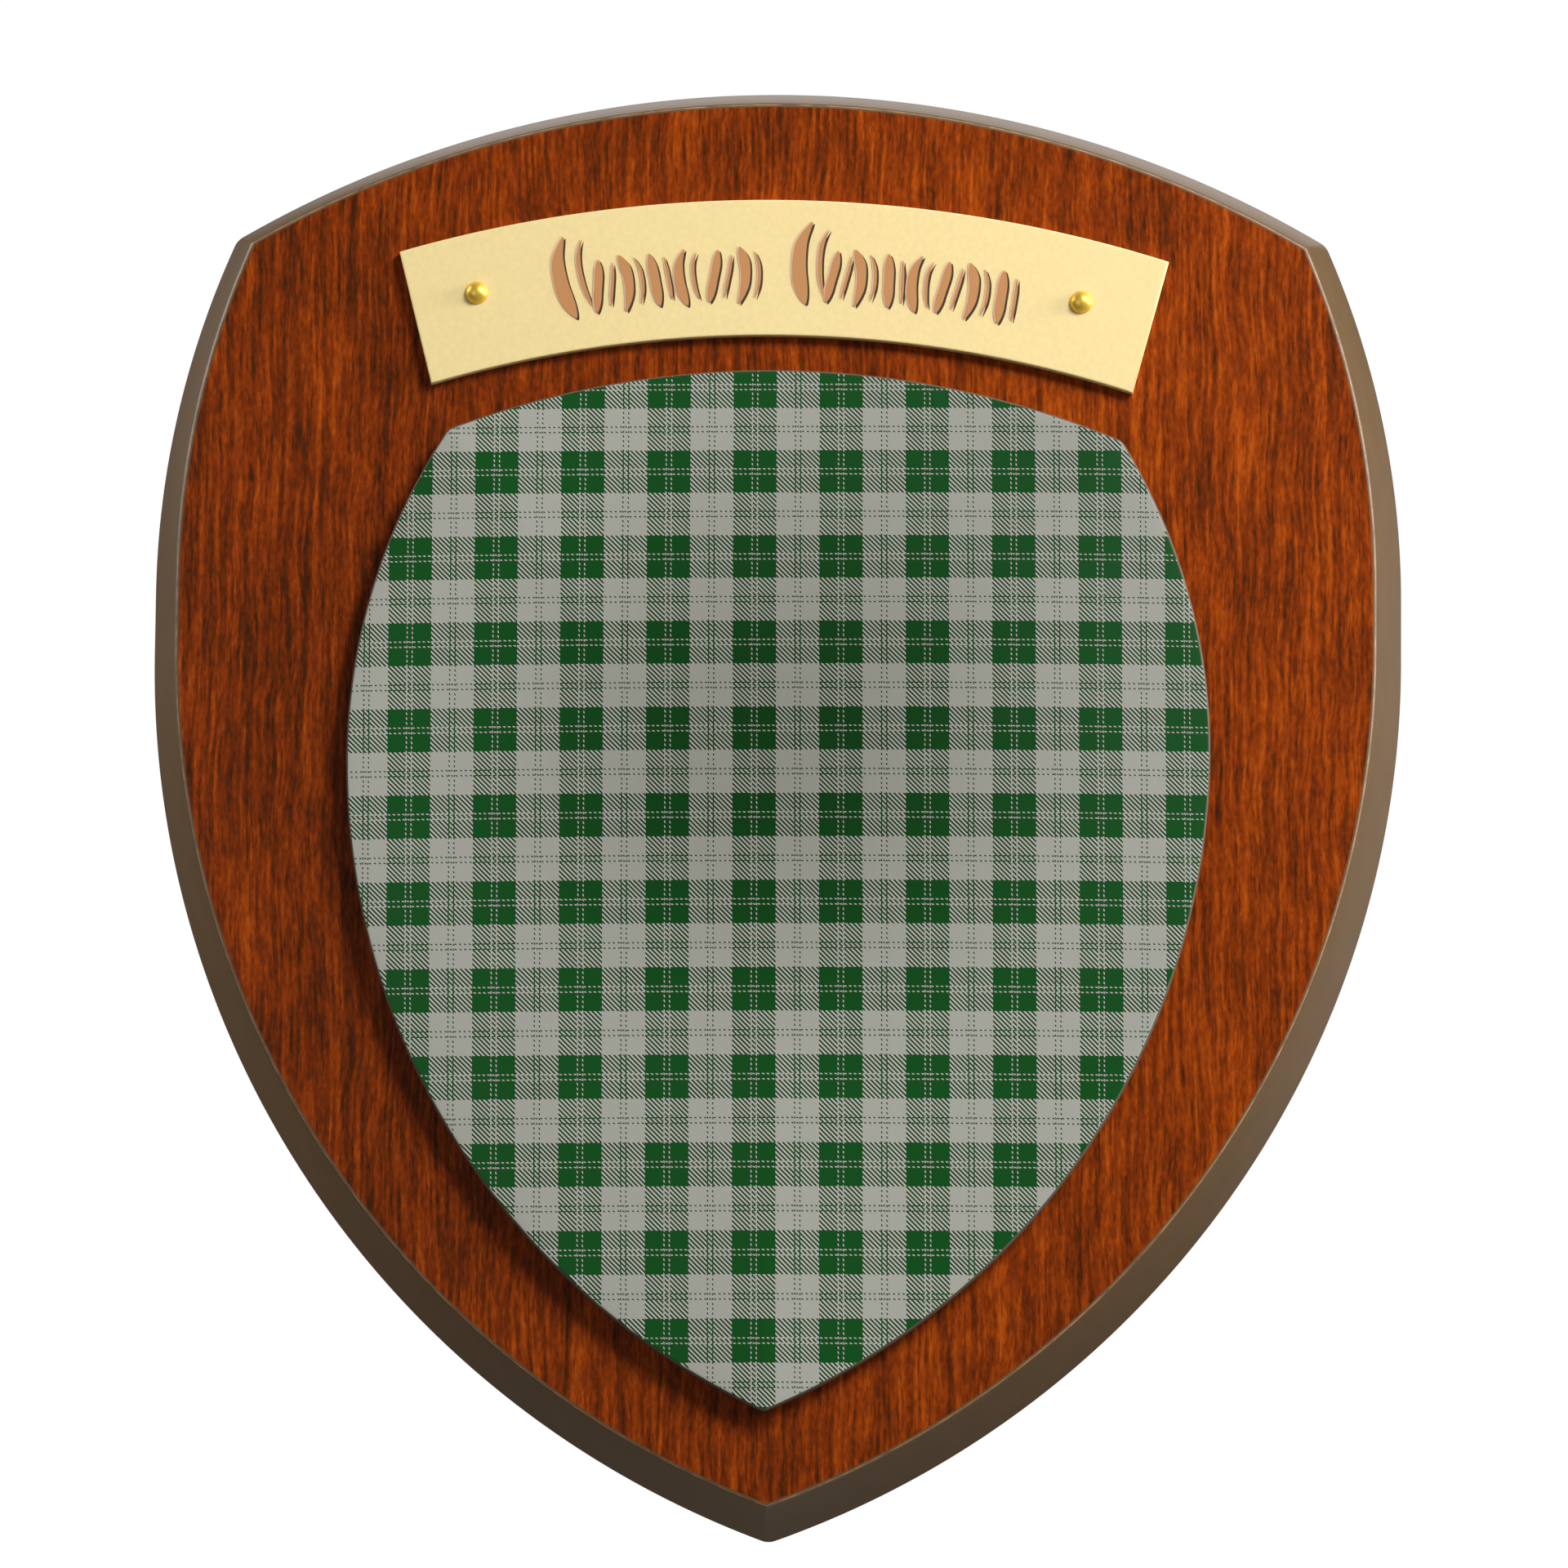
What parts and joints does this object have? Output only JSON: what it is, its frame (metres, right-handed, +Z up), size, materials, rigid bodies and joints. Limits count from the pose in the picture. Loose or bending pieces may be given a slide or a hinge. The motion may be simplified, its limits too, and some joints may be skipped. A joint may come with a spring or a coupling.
{
  "type": "wall plaque",
  "caption": "Heraldic shield-shaped wooden wall plaque with a domed tartan shield on its face and a curved brass nameplate held by brass pins, hung by a keyhole slot in its back.",
  "frame": {"origin": "centre of the screw that the plaque hangs on, in the plane of the board's back", "axes": "+Z up the plaque, the face looks along -Y, the back lies against the wall at y = 0 and looks along +Y, +X to the right seen from the front"},
  "size_m": [0.1524, 0.0177, 0.1779],
  "materials": {
    "board": "red-brown mahogany stain under satin lacquer, with a matt grey-brown painted edge",
    "tartan": "green and white tartan printed on a moulded domed shield",
    "plate": "pale satin brass with rows of copper-coloured strokes",
    "pin": "polished yellow brass"
  },
  "bodies": {
    "root": {"plaque_board": "board", "tartan_shield": "tartan", "nameplate": "plate", "pin_left": "pin", "pin_right": "pin"}
  },
  "joints": []
}
